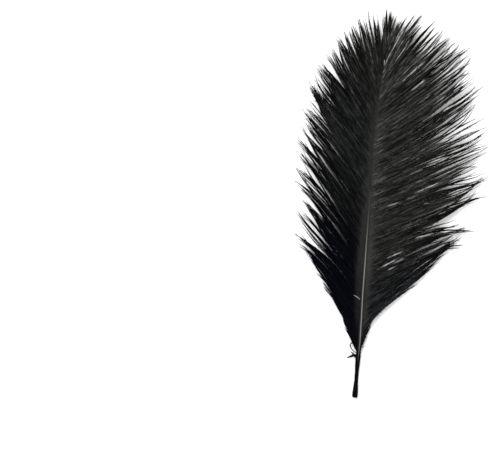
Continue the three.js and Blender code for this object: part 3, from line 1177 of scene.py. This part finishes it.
def smooth_through(at, knots, values):
    """A curve through values at even knots, with the slope of each knot's two neighbours."""
    slope = np.gradient(values)
    place = at * (len(knots) - 1)
    low = np.minimum(place.astype(int), len(knots) - 2)
    t = place - low
    first, last = values[low], values[low + 1]
    return (
        first * (1 + 2 * t) * (1 - t) ** 2 + slope[low] * t * (1 - t) ** 2
        + last * t * t * (3 - 2 * t) + slope[low + 1] * t * t * (t - 1)
    )


def build_strays(sizes, colours):
    """The loose curly barbs beside the quill, and the few pale ones, of which the two at the tip are partly
    a painted highlight.
    """
    rng = np.random.default_rng(sizes.seed + STRAY_SEED_STEP)
    material = barb_material(colours)
    for name, shape in STRAY_BARBS.items():
        barb_piece("stray_barb_" + name, stray_barb(*shape), sizes, material, rng)


# The photograph's frame and the feather in it, in the photograph's pixels
PHOTO_SIZE = (500, 456)
PHOTO_CUT_END = (354.5, 397.0)
PHOTO_TILT = math.radians(4.81)
PIXEL = 0.7228 * MM
LENS = 85.0
SENSOR = 36.0
# Half the floor's side in metres, and how strongly the white sky lights it
FLOOR_HALF_SIDE = 3
SKY_STRENGTH = 0.65
# The soft lights: place and side in metres, power in watts
LIGHTS = {"key": ((-0.55, 0.6, 1.0), 0.8, 21), "fill": ((0.7, -0.2, 1.2), 1.0, 8)}


def photo_to_frame(x, y):
    """The point on the floor that a pixel of the photograph shows."""
    right = (x - PHOTO_CUT_END[0]) * PIXEL
    up = (PHOTO_CUT_END[1] - y) * PIXEL
    cosine, sine = math.cos(PHOTO_TILT), math.sin(PHOTO_TILT)
    across = CUT_END[0] * MM + right * cosine - up * sine
    return Vector((across, CUT_END[1] * MM + right * sine + up * cosine, 0))


def add_light(name, place, size, power):
    """A square soft light that looks at the middle of the feather."""
    light = bpy.data.lights.new(name, "AREA")
    light.shape = "SQUARE"
    light.size = size
    light.energy = power
    lamp = bpy.data.objects.new(name, light)
    lamp.location = place
    lamp.rotation_euler = (-Vector(place)).to_track_quat("-Z", "Y").to_euler()
    bpy.context.scene.collection.objects.link(lamp)


def build_stage(colours):
    """The camera over the middle of the photograph, the floor and the lights."""
    scene = bpy.context.scene
    centre = photo_to_frame(PHOTO_SIZE[0] / 2, PHOTO_SIZE[1] / 2)
    camera = bpy.data.cameras.new("camera")
    camera.lens = LENS
    camera.sensor_width = SENSOR
    holder = bpy.data.objects.new("camera", camera)
    holder.location = centre + Vector((0, 0, PHOTO_SIZE[0] * PIXEL * LENS / SENSOR))
    holder.rotation_euler = (0, 0, PHOTO_TILT)
    scene.collection.objects.link(holder)
    scene.camera = holder

    bm = bmesh.new()
    bmesh.ops.create_grid(bm, x_segments=1, y_segments=1, size=FLOOR_HALF_SIDE)
    mesh = bpy.data.meshes.new("floor")
    bm.to_mesh(mesh)
    bm.free()
    mesh.materials.append(floor_material(colours))
    floor = bpy.data.objects.new("floor", mesh)
    scene.collection.objects.link(floor)

    world = bpy.data.worlds.new("studio")
    world.use_nodes = True
    background = world.node_tree.nodes["Background"]
    background.inputs["Color"].default_value = (1, 1, 1, 1)
    background.inputs["Strength"].default_value = SKY_STRENGTH
    scene.world = world
    scene.view_settings.view_transform = "Standard"
    for name, light in LIGHTS.items():
        add_light(name, *light)


class FEATHER_OT_stage(bpy.types.Operator):
    """Add the floor, the lights and the camera"""

    bl_idname = "feather.stage"
    bl_label = "Add Stage"
    bl_options = {"UNDO"}

    def execute(self, context):
        build_stage(context.scene.feather_colours)
        return {"FINISHED"}


class FEATHER_OT_shaft(bpy.types.Operator):
    """Add the quill and the shaft"""

    bl_idname = "feather.shaft"
    bl_label = "Add Shaft"
    bl_options = {"UNDO"}

    def execute(self, context):
        build_shaft(context.scene.feather_colours)
        return {"FINISHED"}


class FEATHER_OT_vanes(bpy.types.Operator):
    """Add the barbs and barbules of both vanes"""

    bl_idname = "feather.vanes"
    bl_label = "Add Vanes"
    bl_options = {"UNDO"}

    def execute(self, context):
        build_vanes(context.scene.feather_sizes, context.scene.feather_colours)
        return {"FINISHED"}


class FEATHER_OT_strays(bpy.types.Operator):
    """Add the loose and the pale barbs"""

    bl_idname = "feather.strays"
    bl_label = "Add Stray Barbs"
    bl_options = {"UNDO"}

    def execute(self, context):
        build_strays(context.scene.feather_sizes, context.scene.feather_colours)
        return {"FINISHED"}


OPERATORS = [FEATHER_OT_stage, FEATHER_OT_shaft, FEATHER_OT_vanes, FEATHER_OT_strays]


class FEATHER_PT_build(bpy.types.Panel):
    """Lists the feather's sizes, its colours and the steps that build it."""

    bl_label = "Ostrich Feather"
    bl_space_type = "VIEW_3D"
    bl_region_type = "UI"
    bl_category = "Feather"

    def draw(self, context):
        for group in (context.scene.feather_sizes, context.scene.feather_colours):
            box = self.layout.box()
            for name in group.__annotations__:
                box.prop(group, name)
        for operator in OPERATORS:
            self.layout.operator(operator.bl_idname)


CLASSES = [FeatherSizes, FeatherColours, *OPERATORS, FEATHER_PT_build]


def register():
    for made in CLASSES:
        bpy.utils.register_class(made)
    bpy.types.Scene.feather_sizes = bpy.props.PointerProperty(type=FeatherSizes)
    bpy.types.Scene.feather_colours = bpy.props.PointerProperty(type=FeatherColours)


def unregister():
    del bpy.types.Scene.feather_sizes
    del bpy.types.Scene.feather_colours
    for made in reversed(CLASSES):
        bpy.utils.unregister_class(made)


def main():
    register()
    bpy.ops.feather.stage()
    bpy.ops.feather.shaft()
    bpy.ops.feather.vanes()
    bpy.ops.feather.strays()


if __name__ == "__main__":
    main()
